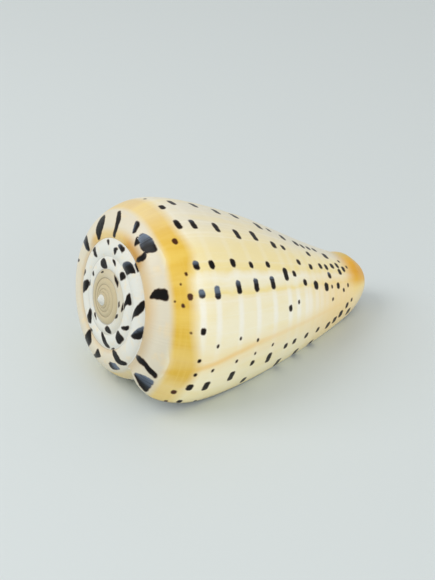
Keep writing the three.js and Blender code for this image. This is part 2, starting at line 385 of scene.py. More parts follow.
# %% Outside, and the two walls of the mouth
spire_columns = SPIRE_TURNS * COLUMNS_PER_TURN + 1
all_rows = np.arange(last_row + 1)
ramp_rows = np.arange(SPIRE_ROWS + 1)
wall_rows = np.arange(SPIRE_ROWS + 1, last_row + 1)
add_grid(outer[:spire_columns, :SPIRE_ROWS + 1], *stage_grids(first_column, spire_columns, ramp_rows), True)
add_grid(outer[in_last_whorl], *stage_grids(-COLUMNS_PER_TURN, COLUMNS_PER_TURN + 1, all_rows), True)
older = outer[in_older_wall][:, SPIRE_ROWS + 1:]
add_grid(older, *stage_grids(deep_column - COLUMNS_PER_TURN, len(older), wall_rows), False)
add_grid(inner, *stage_grids(deep_column, len(inner), all_rows), False, flip=True)

# %% The lip's rounded edge, down the lip and back round the front tip
proud = LIP_THICKNESS / 3.0
lip_path = [(0, row) for row in range(last_row + 1)]
lip_path += [(column, last_row) for column in range(-1, deep_column - 1, -1)]
lip_column, lip_row = np.array(lip_path).T
lip_turn = bent_turn(lip_row, lip_column / COLUMNS_PER_TURN)
outer_lip, inner_lip = wall_point(lip_row, lip_turn), inner_point(lip_row, lip_turn)
lip_middle = (outer_lip + inner_lip) / 2.0
at_end = lip_row == last_row
rim = [outer[lip_column - first_column, lip_row]]
for step in range(1, LIP_STEPS):
    swing = math.pi * step / LIP_STEPS
    point = lip_middle + (outer_lip - lip_middle) * math.cos(swing)
    reach = proud * math.sin(swing)
    point[at_end, 1] -= reach
    ahead = np.where(at_end, 0.0, reach / (2.0 * np.pi * lip_middle[:, 1]))
    numbers = add_points(place(point, lip_turn + ahead))
    numbers[0] = rim[0][0]
    rim.append(numbers)
rim.append(inner[lip_column - deep_column, lip_row])
rim = np.stack(rim, axis=1)
rim_turns = np.repeat(lip_turn[:, None], LIP_STEPS + 1, axis=1)
rim_alongs = np.repeat(row_along[lip_row][:, None], LIP_STEPS + 1, axis=1)
add_grid(rim, rim_turns, rim_alongs, False, flip=True)

# %% The end of the mouth deep inside, and the blunt front end
all_points = np.concatenate(points)
near_wall = outer[deep_column - COLUMNS_PER_TURN - first_column]
far_wall = inner[0]
near, far = SPIRE_ROWS + 1, 0
end_faces = []
while near < last_row or far < last_row:
    step_near = step_far = math.inf
    if near < last_row:
        step_near = np.linalg.norm(all_points[near_wall[near + 1]] - all_points[far_wall[far]])
    if far < last_row:
        step_far = np.linalg.norm(all_points[far_wall[far + 1]] - all_points[near_wall[near]])
    if step_near < step_far:
        end_faces.append((far_wall[far], near_wall[near], near_wall[near + 1]))
        near += 1
    else:
        end_faces.append((far_wall[far], near_wall[near], far_wall[far + 1]))
        far += 1

centre = int(add_points(np.array([[0.0, 0.0, -SHELL_LENGTH]]))[0])
front_ring = outer[deep_column - COLUMNS_PER_TURN - first_column:deep_column - first_column + 1, last_row]
end_faces += [(centre, a, b) for a, b in zip(front_ring[:-1], front_ring[1:])]
closing = [front_ring[0], *rim[-1][::-1]]
end_faces += [(centre, b, a) for a, b in zip(closing[:-1], closing[1:])]
end_faces = np.array(end_faces)
end_stage = np.full(end_faces.shape, deep_column / COLUMNS_PER_TURN)
add_triangles(end_faces, end_stage, np.full(end_faces.shape, row_along[-1]), False)
all_points = np.concatenate(points)
corners = np.concatenate(face_points)
corner_turn = np.concatenate(face_turns)
corner_along = np.concatenate(face_alongs)
is_outside = np.concatenate(face_outside)
print("points:", len(all_points), "triangles:", len(corners))

# %% [markdown]
# ## Lay it down
#
# The shell rests on its lip and on the round of the body, with the apex lifted a little. The solid model
# already found that pose, so the mesh gets the same turn and is then set into the solid's own box.

# %% Rest pose
REST_TILT = math.radians(12.7)
REST_ROLL = math.radians(-25.3)


def rest_basis():
    """The shell's own axes as they lie in the frame."""
    axis = np.array([-math.cos(REST_TILT), 0.0, math.sin(REST_TILT)])
    down = np.array([-math.sin(REST_TILT), 0.0, -math.cos(REST_TILT)])
    across = np.cross(axis, down)
    cosine, sine = math.cos(-REST_ROLL), math.sin(-REST_ROLL)
    zero = down * cosine + across * sine
    quarter = across * cosine - down * sine
    return np.stack([zero, quarter, axis], axis=1)


laid = all_points @ rest_basis().T
low, high = laid.min(axis=0), laid.max(axis=0)
solid_middle = (np.array(solid_low) + np.array(solid_high)) / 2.0 / MM
shift = solid_middle - (low + high) / 2.0
shift[2] = solid_low[2] / MM - low[2]
laid += shift
print("shell size in mm:", (high - low).round(2))

# %% Make the mesh
mesh = bpy.data.meshes.new("shell")
mesh.from_pydata((laid * MM).tolist(), [], corners.tolist())
mesh.validate()
mesh.polygons.foreach_set("use_smooth", np.ones(len(mesh.polygons), bool))
shell = bpy.data.objects.new("shell", mesh)
bpy.context.scene.collection.objects.link(shell)


def keep_on_corners(name, values):
    """Stores one number for each face corner, for the finish to read."""
    layer = mesh.attributes.new(name, "FLOAT", "CORNER")
    layer.data.foreach_set("value", np.ascontiguousarray(values, np.float32).reshape(-1))


# %% [markdown]
# ## The marks
#
# The animal painted its marks at the lip, so each one has a growth stage, in degrees back from the lip, and a
# place along the section. The rows on the body are spiral lines at fixed depths, and dashes of one age stand
# in line across them. The blotches on the ramp are wider, so they are written level by level. The side that
# faces the viewer is listed one by one. The far side follows most of the same rows, with dashes drawn from a
# seeded random generator.

# %% From a depth or a share of the ramp to a place along the section
ramp_part = slice(0, SPIRE_ROWS + SHOULDER_ROWS + 1)
body_part = slice(SPIRE_ROWS, last_row + 1)


def at_depth(depth):
    return np.interp(depth, row_depth[body_part], row_along[body_part])


def on_ramp(share):
    """A share of 0 is the inner suture, 1 the place where the next whorl covers this one."""
    radius = mix(SUTURE_RADIUS, attach_radius, np.asarray(share, float))
    return np.interp(radius, row_radius[ramp_part], row_along[ramp_part])


marks = []


def dash(degrees, along, length, width, blue=0.0):
    """A short mark along a row: where its middle lies, its size, and the share of it that gets a painted
    grey-blue reflection.
    """
    half = length / 2.0 / math.radians(np.interp(along, row_along, row_radius))
    marks.append(([along], [degrees - half], [degrees + half], width / 2.0, blue))


def blotch(blue, *levels):
    """A mark drawn level by level across the ramp, each level as (share, first degree, last degree)."""
    share, first, last = zip(*levels)
    marks.append((on_ramp(share).tolist(), list(first), list(last), 0.0, blue))


# %% The rows of dashes that the viewer sees: depth of the row, then (degrees, length, blue), blue being the share of painted grey-blue reflection
DOT, SMALL, SHORT, MIDDLE, LONG = 0.85, 1.35, 2.3, 3.1, 4.5
DASH_ROWS = {
    8.3: [(66.8, DOT, 0)],
    10.6: [(64.5, SMALL, 0), (75.7, DOT, 0)],
    12.9: [(1.5, SMALL, 0), (11.5, SHORT, 0), (50, DOT, 0), (68.7, SHORT, 0), (81, SMALL, 0),
           (100.5, SHORT, 0)],
    16.9: [(3.3, SHORT, 0), (16.8, MIDDLE, 0), (26, SMALL, 0), (34.7, SMALL, 0), (50.8, SHORT, 0),
           (70, MIDDLE, 0.7), (84.8, MIDDLE, 0.4), (111, LONG, 0.1), (128, MIDDLE, 0)],
    22.7: [(2.5, SMALL, 0), (17, LONG, 0), (28, SMALL, 0), (42.3, SMALL, 0), (70, LONG, 0.7),
           (84.5, MIDDLE, 0), (110, LONG, 0.2), (132.5, LONG, 0)],
    31.9: [(20, LONG, 0), (30.6, SMALL, 0), (44.3, SMALL, 0), (71.8, LONG, 0.3), (85.3, MIDDLE, 0),
           (108.6, LONG, 0), (132.5, LONG, 0)],
    39.9: [(9.5, MIDDLE, 0), (24.8, SHORT, 0), (31.7, SMALL, 0), (40.5, SMALL, 0), (72.4, LONG, 0.3),
           (84.2, SHORT, 0), (105.3, LONG, 0), (128.8, LONG, 0)],
    47.8: [(22.8, LONG, 0), (33.1, SMALL, 0), (73, LONG, 0.3), (84.7, SHORT, 0), (106.4, LONG, 0),
           (129.5, LONG, 0)],
    55.1: [(9.5, LONG, 0), (26.5, SHORT, 0), (55, SHORT, 0), (78.4, LONG, 0), (101.2, MIDDLE, 0),
           (121.8, LONG, 0)],
    59.4: [(26.8, SHORT, 0), (58, SMALL, 0), (78.7, SHORT, 0), (100.6, SHORT, 0), (120.6, SHORT, 0)],
    63.8: [(8, LONG, 0), (71.6, SHORT, 0), (88.6, SHORT, 0), (115.4, MIDDLE, 0)],
    65.6: [(26, SHORT, 0)],
    69.2: [(68.8, MIDDLE, 0), (85.6, SHORT, 0), (113, MIDDLE, 0)],
    71.7: [(5.5, LONG, 0), (25.3, SHORT, 0), (100.8, SHORT, 0), (111.5, SHORT, 0)],
    74.6: [(65.8, MIDDLE, 0), (87.3, SHORT, 0), (112, SHORT, 0)],
    77.6: [(22, MIDDLE, 0), (52.4, SMALL, 0), (65.4, SMALL, 0), (77.3, SHORT, 0.3), (86.8, SHORT, 0),
           (112.8, SHORT, 0)],
    81.0: [(24, MIDDLE, 0), (65.4, SHORT, 0), (89.2, SHORT, 0), (105.3, MIDDLE, 0)],
    83.9: [(28, MIDDLE, 0), (59.2, SMALL, 0), (82, SHORT, 0), (91.3, SHORT, 0)],
    86.6: [(36.7, SHORT, 0), (64, SMALL, 0), (86.2, SHORT, 0), (100.3, SMALL, 0)],
    89.0: [(22, MIDDLE, 0), (41.8, SMALL, 0), (91.5, SMALL, 0)],
}
DASH_WIDTH = 2.3
DASH_ROUNDNESS = 0.82


def dash_width(length):
    return min(DASH_WIDTH, max(length * DASH_ROUNDNESS, DOT))


for depth, dashes in DASH_ROWS.items():
    for degrees, length, blue in dashes:
        dash(degrees, float(at_depth(depth)), length, dash_width(length), blue)
print("dashes in sight:", len(marks))

# %% The far side's dashes
FAR_SEED = 11
FAR_START, FAR_END = 146.0, 356.0
SHOWN_SHARE = 0.82
LENGTH_SPREAD = (0.8, 1.2)
FRONT_START, FRONT_SHORTENING = 60.0, 0.75
DEGREES_SPREAD, DEPTH_SPREAD = 1.3, 0.35
AGE_GAP = (13.0, 24.0)
FAR_ROWS = [16.9, 22.7, 31.9, 39.9, 47.8, 55.1, 59.4, 63.8, 69.2, 74.6, 77.6, 81.0, 83.9, 86.6, 89.0]
random = np.random.default_rng(FAR_SEED)
degrees = FAR_START
while degrees < FAR_END:
    usual = random.choice([SMALL, SHORT, MIDDLE, LONG])
    for depth in FAR_ROWS:
        shown = random.random() < SHOWN_SHARE
        length = usual * random.uniform(*LENGTH_SPREAD) * (FRONT_SHORTENING if depth > FRONT_START else 1.0)
        here = degrees + random.normal(0.0, DEGREES_SPREAD)
        if shown:
            there = float(at_depth(depth + random.normal(0.0, DEPTH_SPREAD)))
            dash(here, there, length, dash_width(length))
    degrees += random.uniform(*AGE_GAP)

# %% The blotches on the last whorl's ramp, from the lip back. The first number is the share of painted grey-blue reflection.
blotch(0.55, (0.48, 8.5, 11.5), (0.6, 8.5, 14), (0.8, 5.5, 16), (1.03, 2.5, 15.5))
blotch(0, (0.02, 17.5, 18.5), (0.15, 18.5, 22), (0.3, 20, 25), (0.5, 20.3, 26), (0.6, 22, 26.5),
       (0.75, 20, 24.5), (1.03, 17, 21.5))
blotch(0, (0.5, 69, 70.2), (0.62, 69, 73.5), (0.75, 68.3, 75.2), (1.05, 67, 74.5))
blotch(0, (0.18, 99.6, 100.6), (0.35, 97, 101.5), (0.6, 95.3, 100.5), (0.76, 97.5, 102))
blotch(0, (0.48, 109.5, 110.8), (0.6, 109, 113.5), (0.78, 108, 115.5))
blotch(0.45, (0.66, 103, 109), (0.72, 99, 112.5), (0.84, 98.5, 115), (0.96, 97.5, 114), (1.06, 97.5, 108))
blotch(0.3, (0.7, 119, 120.5), (0.8, 118, 122.5), (0.92, 119.5, 125), (1.04, 121.5, 127))
blotch(0, (0.04, 142, 146), (0.2, 139, 144), (0.4, 137, 142), (0.6, 137.5, 142.5),
       (0.8, 139, 145.5), (1.04, 146, 150))
blotch(0, (0.04, 170, 174.5), (0.2, 164.5, 173), (0.4, 160, 173.5), (0.6, 158.5, 172),
       (0.8, 161, 170.5), (0.95, 164, 168))
blotch(0.2, (0.07, 193, 196), (0.25, 190, 197.5), (0.5, 189, 197.5), (0.7, 191, 199), (0.92, 195, 202))
blotch(0, (0.45, 212.5, 215), (0.7, 214.5, 218), (0.88, 217, 219.5))
blotch(0, (0, 283, 287), (0.1, 283.5, 292), (0.25, 283.5, 296.5), (0.4, 284, 297),
       (0.6, 284, 295), (0.98, 286, 291))
blotch(0, (0.22, 309.5, 312.5), (0.35, 309, 316), (0.48, 308, 319.5), (0.6, 307, 315),
       (0.75, 304, 309.5), (0.95, 301, 305))
blotch(0.6, (0.55, 334, 338), (0.65, 332, 345), (0.8, 332.5, 346), (0.96, 334.5, 348))
blotch(0, (0, 338, 343), (0.15, 341, 350), (0.4, 345, 355), (0.6, 347, 356),
       (0.75, 350, 360), (0.94, 357, 363))

# %% The blotches on the whorl before it
blotch(0.3, (0.36, 388, 391), (0.5, 388.5, 396), (0.7, 390, 402), (1, 394, 407))
blotch(0, (0, 400, 407), (0.15, 405, 412), (0.35, 410, 418), (0.6, 413, 423.5), (1, 420, 429))
blotch(0.25, (0, 458, 474), (0.25, 457, 473), (0.5, 455, 471), (0.7, 453.5, 468), (0.85, 451, 464))
blotch(0.2, (0.9, 452, 461), (1.02, 453, 463))
blotch(0.2, (0.25, 492, 494.5), (0.4, 490.5, 497), (0.55, 490.5, 497.5), (0.7, 487, 494.5))
blotch(0.3, (0.65, 480.5, 484), (0.75, 480.5, 493), (0.93, 480.5, 493))
blotch(0, (0.62, 507.5, 510), (0.75, 508.5, 513.5), (0.92, 511, 517.5))
blotch(0, (0.17, 537, 541), (0.4, 537, 544), (0.65, 538, 545), (0.92, 541, 549))
blotch(0, (0.5, 571.5, 578), (0.7, 573, 582), (0.9, 575, 584))
blotch(0, (0, 580, 590), (0.2, 581, 597), (0.4, 584, 600), (0.6, 587, 601.5), (0.85, 593, 602))
blotch(0, (0, 620, 634), (0.15, 625, 640), (0.3, 629, 645), (0.5, 630, 642), (0.68, 633, 640))
blotch(0, (0.55, 649, 653), (0.75, 645, 651.5), (0.97, 643, 649))
blotch(0, (0, 671, 676), (0.1, 673, 683), (0.3, 678, 690), (0.5, 681, 694),
       (0.7, 684, 697), (0.9, 687, 698))
blotch(0, (0.9, 700, 706), (1, 696, 705))

# %% The blotches on the two whorls before those
blotch(0, (0.05, 724, 728), (0.2, 722.5, 733), (0.4, 719, 734), (0.93, 718, 735))
blotch(0, (0.3, 742, 744), (0.45, 742.5, 748), (0.7, 744.5, 752), (0.94, 748, 756.5))
blotch(0, (0, 769, 782), (0.2, 772, 782), (0.42, 778, 787), (0.6, 781, 794), (0.95, 780, 798))
blotch(0, (0.35, 817.5, 821), (0.5, 816.5, 828), (0.7, 816, 829), (0.94, 815, 827))
blotch(0, (0.6, 842.5, 847), (0.75, 845, 855), (0.93, 850, 860))
blotch(0, (0, 869, 884), (0.15, 866, 886), (0.3, 867, 888), (0.5, 870, 889),
       (0.7, 874, 890), (0.9, 880, 888))
blotch(0, (0.3, 918, 923), (0.5, 916, 924), (0.72, 917.5, 924))
blotch(0, (0.45, 939, 944), (0.65, 936, 947), (0.88, 938, 949))
blotch(0, (0.5, 987, 992), (0.7, 984, 995), (0.88, 984, 995))
blotch(0, (0.08, 997, 1001), (0.2, 996, 1010), (0.36, 1001, 1015))
blotch(0, (0.13, 1053, 1061), (0.3, 1050, 1068), (0.5, 1049, 1070), (0.7, 1051, 1070), (0.96, 1060, 1068))
blotch(0, (0, 1098, 1108), (0.5, 1106, 1120))
blotch(0, (0.3, 1130, 1142), (0.6, 1134, 1146))
blotch(0, (0.76, 1124, 1134), (0.98, 1130, 1146))
blotch(0, (0.6, 1170, 1190), (0.95, 1180, 1204))
blotch(0, (0.6, 1236, 1248), (0.85, 1243, 1256))
print("marks:", len(marks))

# %% [markdown]
# ## Tell each face its mark
#
# A face is told which mark is nearest. Its corners then hold where they lie from the mark's middle, across
# and along it, and half the mark's size there. These change evenly over the face, so the finish can draw a
# clean edge inside a face that is larger than the edge is sharp. A picture wrapped round the shell would
# blur on the large whorls.

# %% Nearest marks
EDGE_ROUNDING = 1.05
ROUNDING_SHARE = 0.9
LEAST_HALF = 0.12
SEARCH = 3.0
SEARCH_RADIUS = 20.0
FAR_OFF = 2.0 * SEARCH
FULL_TURN = 360.0


def in_mark(degrees, along, spec):
    """Where points lie in a mark: across and along it in mm, with the mark's half sizes there."""
    levels, first, last, half_width, _ = spec
    scale = GROWTH_PER_TURN ** (-degrees / FULL_TURN)
    per_degree = np.radians(np.interp(along, row_along, row_radius)) * scale
    start, end = np.interp(along, levels, first), np.interp(along, levels, last)
    x = (degrees - (start + end) / 2.0) * per_degree
    half_x = np.maximum((end - start) / 2.0 * per_degree, LEAST_HALF)
    y = (along - (levels[0] + levels[-1]) / 2.0) * scale
    half_y = ((levels[-1] - levels[0]) / 2.0 + half_width) * scale
    return x, y, half_x, half_y


def rounded_distance(x, y, half_x, half_y):
    """How far outside a mark with round corners a point is, in mm. It is negative inside."""
    rounding = np.minimum(np.minimum(half_x, half_y) * ROUNDING_SHARE, EDGE_ROUNDING)
    over_x, over_y = np.abs(x) - half_x + rounding, np.abs(y) - half_y + rounding
    outer = np.hypot(np.maximum(over_x, 0.0), np.maximum(over_y, 0.0))
    return outer + np.minimum(np.maximum(over_x, over_y), 0.0) - rounding


corner_degrees = -corner_turn * FULL_TURN
middle_degrees = corner_degrees.mean(axis=1)
middle_along = corner_along.mean(axis=1)
nearest = np.full(len(corners), -1)
nearest_distance = np.full(len(corners), SEARCH)
no_mark = (FAR_OFF, FAR_OFF, 1.0, 1.0, 0.0)
mark_x, mark_y, half_x, half_y, mark_sheen = (np.full(corners.shape, value) for value in no_mark)
for number, spec in enumerate(marks):
    levels, first, last, half_width, _ = spec
    degrees_reach = math.degrees(SEARCH / SEARCH_RADIUS) * GROWTH_PER_TURN ** (min(first) / FULL_TURN)
    close = np.flatnonzero(
        (is_outside > 0.5)
        & (middle_degrees > min(first) - degrees_reach) & (middle_degrees < max(last) + degrees_reach)
        & (middle_along > levels[0] - half_width - SEARCH) & (middle_along < levels[-1] + half_width + SEARCH)
    )
    distance = rounded_distance(*in_mark(middle_degrees[close], middle_along[close], spec))
    better = close[distance < nearest_distance[close]]
    nearest_distance[better] = distance[distance < nearest_distance[close]]
    nearest[better] = number
for number, spec in enumerate(marks):
    own = nearest == number
    mark_x[own], mark_y[own], half_x[own], half_y[own] = in_mark(corner_degrees[own], corner_along[own], spec)
    mark_sheen[own] = spec[-1]

# %% The nearest row of dashes, for the paler line that it runs in
FIRST_LINE_DEPTH = 14.0
line_depths = [depth for depth in DASH_ROWS if depth > FIRST_LINE_DEPTH]
line_along = np.array([float(at_depth(depth)) for depth in line_depths])
nearest_line = np.abs(middle_along[:, None] - line_along[None, :]).argmin(axis=1)
line_offset = corner_along - line_along[nearest_line][:, None]

# %% Store them
CORNER_VALUES = {
    "growth": corner_degrees,
    "along": corner_along,
    "outside": np.repeat(is_outside[:, None], 3, axis=1),
    "mark_x": mark_x,
    "mark_y": mark_y,
    "half_x": half_x,
    "half_y": half_y,
    "mark_sheen": mark_sheen,
    "line_offset": line_offset,
}
for name, values in CORNER_VALUES.items():
    keep_on_corners(name, values)
print("values kept on each corner:", len(CORNER_VALUES))

# %% [markdown]
# ## The finish
#
# The wall is porcelain-like: cream, with zones of growth in slightly different tints, an amber band below the
# shoulder and an orange tip. All colours are functions of the same two growth coordinates, so they bend with
# the shell. The sheen is soft with a faint clear coat on top, and the marks are duller than the wall.

# %% A small helper for nodes
class Finish:
    """Builds a node material with short calls. Every call returns the new node's output."""

    def __init__(self, name):
        self.material = bpy.data.materials.new(name)
        self.material.use_nodes = True
        self.tree = self.material.node_tree
        self.shader = self.tree.nodes["Principled BSDF"]

    def link(self, value, socket):
        if isinstance(value, bpy.types.NodeSocket):
            self.tree.links.new(value, socket)
        else:
            socket.default_value = value

    def attribute(self, name):
        node = self.tree.nodes.new("ShaderNodeAttribute")
        node.attribute_name = name
        return node.outputs["Fac"]

    def math(self, operation, *values):
        node = self.tree.nodes.new("ShaderNodeMath")
        node.operation = operation
        for value, socket in zip(values, node.inputs):
            self.link(value, socket)
        return node.outputs["Value"]

    def vector(self, x=0.0, y=0.0, z=0.0):
        node = self.tree.nodes.new("ShaderNodeCombineXYZ")
        for value, socket in zip((x, y, z), node.inputs):
            self.link(value, socket)
        return node.outputs["Vector"]

    def noise(self, vector, scale=1.0, detail=2.0):
        node = self.tree.nodes.new("ShaderNodeTexNoise")
        self.link(vector, node.inputs["Vector"])
        node.inputs["Scale"].default_value = scale
        node.inputs["Detail"].default_value = detail
        return node.outputs["Fac"]

    def range(self, value, low, high, to_low=0.0, to_high=1.0, smooth=True):
        node = self.tree.nodes.new("ShaderNodeMapRange")
        node.interpolation_type = "SMOOTHSTEP" if smooth else "LINEAR"
        node.clamp = True
        for item, socket in zip((value, low, high, to_low, to_high), node.inputs):
            self.link(item, socket)
        return node.outputs["Result"]

    def ramp(self, value, stops, end):
        """A colour or grey value that changes with a value from 0 to an end, as (value, colour) stops."""
        node = self.tree.nodes.new("ShaderNodeValToRGB")
        self.link(self.range(value, 0.0, end, smooth=False), node.inputs["Fac"])
        elements = node.color_ramp.elements
        while len(elements) < len(stops):
            elements.new(1.0)
        for element, (at, colour) in zip(elements, stops):
            element.position = at / end
            element.color = colour if isinstance(colour, tuple) else (colour, colour, colour, 1.0)
        return node.outputs["Color"]

    def mix(self, share, a, b):
        node = self.tree.nodes.new("ShaderNodeMix")
        node.data_type = "RGBA"
        self.link(share, node.inputs["Factor"])
        self.link(a, node.inputs[6])
        self.link(b, node.inputs[7])
        return node.outputs[2]

    def bump(self, height, distance):
        node = self.tree.nodes.new("ShaderNodeBump")
        node.inputs["Distance"].default_value = distance
        self.link(height, node.inputs["Height"])
        return node.outputs["Normal"]


def tint(red, green, blue):
    """A display colour of 0 to 255 as the linear colour that the shader works with."""
    share = np.array([red, green, blue]) / 255.0
    linear = np.where(share <= 0.04045, share / 12.92, ((share + 0.055) / 1.055) ** 2.4)
    return (*(float(c) for c in linear), 1.0)


# %% The shell's colours
PALE = tint(254, 249, 226)
CREAM = tint(251, 242, 206)
BUTTER = tint(250, 230, 158)
BEIGE = tint(234, 228, 206)
GOLD = tint(228, 184, 54)
HONEY = tint(238, 202, 92)
PEACH = tint(252, 220, 150)
STREAK = tint(246, 204, 124)
BAND = tint(224, 216, 194)
STAIN = tint(212, 160, 54)
# The chalk colour is the older whorls' own pale white with a blue tint added as a painted reflection.
CHALK_AND_BLUE_SHEEN = tint(227, 228, 220)
TAN = tint(202, 188, 152)
BLACK = tint(8, 6, 6)
UMBER = tint(70, 42, 22)
# The grey-blue below is a painted reflection in the glossy marks.
SHEEN_BLUE = tint(112, 126, 144)
INSIDE = tint(250, 246, 236)
LINE_WHITE = tint(255, 253, 244)
BAND_MARK = tint(84, 44, 14)

finish = Finish("porcelain")
growth = finish.attribute("growth")
along = finish.attribute("along")
outside_share = finish.attribute("outside")


def mm_at(depth):
    return float(at_depth(depth))


def scaled(value, factor):
    return finish.math("MULTIPLY", value, factor)


def drawn_out(per_degree, per_mm, detail, layer=0.0):
    """Noise drawn out in one direction: how fast it changes with growth and along the section."""
    stretched = finish.vector(scaled(growth, per_degree), scaled(along, per_mm), layer)
    return finish.noise(stretched, detail=detail)


def where_high(noise, low, high, strength):
    """A soft mask for the places where a noise is high."""
    return scaled(finish.range(noise, low, high), strength)


def along_section(first_depth, last_depth, to_low=0.0, to_high=1.0):
    """A soft change between two depths."""
    return finish.range(along, mm_at(first_depth), mm_at(last_depth), to_low, to_high)


def about(value, centre, half, soft):
    """One near a centre, and zero further away than half plus soft."""
    off = finish.math("ABSOLUTE", finish.math("SUBTRACT", value, centre))
    return finish.range(off, half, half + soft, 1.0, 0.0)


# %% [markdown]
# ## Zones of growth
#
# While a shell grows, its colour drifts. Each drift is a ramp over the growth stage, and the noise that bends
# it is drawn out along the lip or along the spiral, because the animal only ever worked in those two
# directions. The golden band and the tip are ramps across the section, mixed in by the same rule.

# %% Growth lines and spiral streaks, as noise drawn out in one direction
PATCH_LAYER = 3.0
WOBBLE_DEGREES = 5.0
growth_lines = drawn_out(per_degree=0.55, per_mm=0.012, detail=4.0)
growth_zones = drawn_out(per_degree=0.09, per_mm=0.03, detail=3.0)
spiral_streaks = drawn_out(per_degree=0.012, per_mm=0.9, detail=3.0)
patches = drawn_out(per_degree=0.11, per_mm=0.22, detail=3.0, layer=PATCH_LAYER)
wobble = scaled(finish.math("SUBTRACT", patches, 0.5), WOBBLE_DEGREES)
stage = finish.math("ADD", growth, wobble)

# %% The body's growth zones, as (degrees, colour), made lighter by the lip as painted light, and the paler line that each row of dashes runs in
LINE_CORE, LINE_EDGE = 0.3, 1.8
body = finish.ramp(stage, [
    # The first three stops, by the lip, hold the zone's own tint made lighter: painted light on the body's
    # lower side.
    (0.0, tint(250, 236, 184)), (8.0, tint(254, 242, 194)), (16.0, tint(254, 244, 206)), (26.0, CREAM),
    (33.0, tint(250, 236, 196)), (39.0, tint(251, 240, 204)), (46.0, tint(252, 244, 212)),
    (62.0, tint(252, 244, 212)), (66.5, tint(252, 240, 204)), (69.0, BUTTER), (72.0, CREAM), (77.5, PALE),
    (80.0, tint(252, 240, 200)), (82.0, BUTTER), (86.0, tint(251, 235, 178)), (95.0, tint(248, 233, 180)),
    (103.0, tint(244, 233, 196)),
    (112.0, BEIGE), (150.0, BEIGE), (175.0, CREAM), (230.0, PALE), (300.0, CREAM), (360.0, BEIGE),
], FULL_TURN)
body = finish.mix(where_high(growth_zones, 0.45, 0.7, strength=0.35), body, BUTTER)
body = finish.mix(where_high(growth_lines, 0.5, 0.75, strength=0.35), body, PALE)
off_line = finish.math("ABSOLUTE", finish.attribute("line_offset"))
row_band = finish.range(off_line, LINE_CORE, LINE_EDGE, 1.0, 0.0)
band_whiteness = finish.ramp(stage, [
    (0.0, 0.05), (34.0, 0.12), (44.0, 0.32), (52.0, 0.65), (62.0, 0.65), (68.0, 0.25), (90.0, 0.15),
    (108.0, 0.08), (360.0, 0.05),
], FULL_TURN)
body = finish.mix(scaled(row_band, band_whiteness), body, LINE_WHITE)

# %% The thin peach streak that runs slanting down the body, and the warm zone before the tip
SECTION_END = 120.0
STREAK_RANGE = 100.0
STREAK_CORE, STREAK_EDGE = 0.1, 3.0
GLOW_CORE, GLOW_EDGE, GLOW_STRENGTH = 1.0, 9.0, 0.25
streak_centre = scaled(finish.ramp(along, [
    (mm_at(7.0), 0.24), (mm_at(20.0), 0.31), (mm_at(30.0), 0.355), (mm_at(40.0), 0.385), (mm_at(60.0), 0.405),
    (mm_at(80.0), 0.43), (mm_at(97.0), 0.45),
], SECTION_END), STREAK_RANGE)
off_streak = finish.math("ABSOLUTE", finish.math("SUBTRACT", growth, streak_centre))
streak_strength = along_section(22.0, 58.0, to_low=0.75, to_high=0.25)
streak_core = finish.range(off_streak, STREAK_CORE, STREAK_EDGE, 1.0, 0.0)
body = finish.mix(scaled(streak_core, streak_strength), body, STREAK)
body = finish.mix(finish.range(off_streak, GLOW_CORE, GLOW_EDGE, GLOW_STRENGTH, 0.0), body, PEACH)
warm_strength = along_section(58.0, 84.0, to_high=0.75)
body = finish.mix(scaled(about(growth, centre=42.0, half=22.0, soft=24.0), warm_strength), body, PEACH)

# %% The golden band below the shoulder. It wavers along the section as the shell grows.
SHIFT_RANGE = 10.0
BAND_WOBBLE = 0.06
BAND_RAMP_END = 60.0
edge_share = finish.ramp(growth, [
    (0.0, 0.5), (12.0, 0.52), (22.0, 0.68), (32.0, 0.72), (42.0, 0.54), (50.0, 0.42), (64.0, 0.42),
    (70.0, 0.38), (77.0, 0.42), (85.0, 0.58), (91.0, 0.72), (97.0, 0.68), (106.0, 0.54), (150.0, 0.6),
    (360.0, 0.5),
], FULL_TURN)
edge_shift = finish.math("SUBTRACT", scaled(edge_share, SHIFT_RANGE), SHIFT_RANGE / 2.0)
band_along = finish.math("ADD", finish.math("SUBTRACT", along, edge_shift), scaled(wobble, BAND_WOBBLE))
band_mask = finish.ramp(band_along, [
    (mm_at(5.4), 0.0), (mm_at(6.4), 0.7), (mm_at(8.0), 1.0), (mm_at(12.8), 1.0), (mm_at(14.6), 0.6),
    (mm_at(16.8), 0.0),
], BAND_RAMP_END)
band_strength = finish.ramp(stage, [
    (0.0, 0.6), (14.0, 0.62), (24.0, 0.95), (34.0, 0.82), (45.0, 1.0), (60.0, 1.0), (70.0, 1.0),
    (82.0, 0.95), (92.0, 1.0), (110.0, 0.85), (125.0, 0.6), (150.0, 0.6), (250.0, 0.8), (330.0, 0.7),
    (360.0, 0.2),
], FULL_TURN)
gold = finish.mix(finish.range(growth_zones, 0.35, 0.65), GOLD, HONEY)
gold = finish.mix(where_high(spiral_streaks, 0.5, 0.7, strength=0.4), gold, HONEY)
body = finish.mix(scaled(band_mask, band_strength), body, gold)

# %% The tip
TIP_START, TIP_FULL = 84.0, 93.0
tip_colour = finish.ramp(growth, [
    (0.0, tint(240, 220, 176)), (40.0, tint(250, 230, 180)), (58.0, tint(252, 224, 146)),
    (70.0, tint(242, 186, 46)), (84.0, tint(236, 170, 0)), (104.0, tint(238, 176, 20)),
    (128.0, tint(222, 190, 92)), (160.0, tint(236, 206, 144)), (360.0, tint(236, 210, 156)),
], FULL_TURN)
body = finish.mix(along_section(TIP_START, TIP_FULL), body, tip_colour)
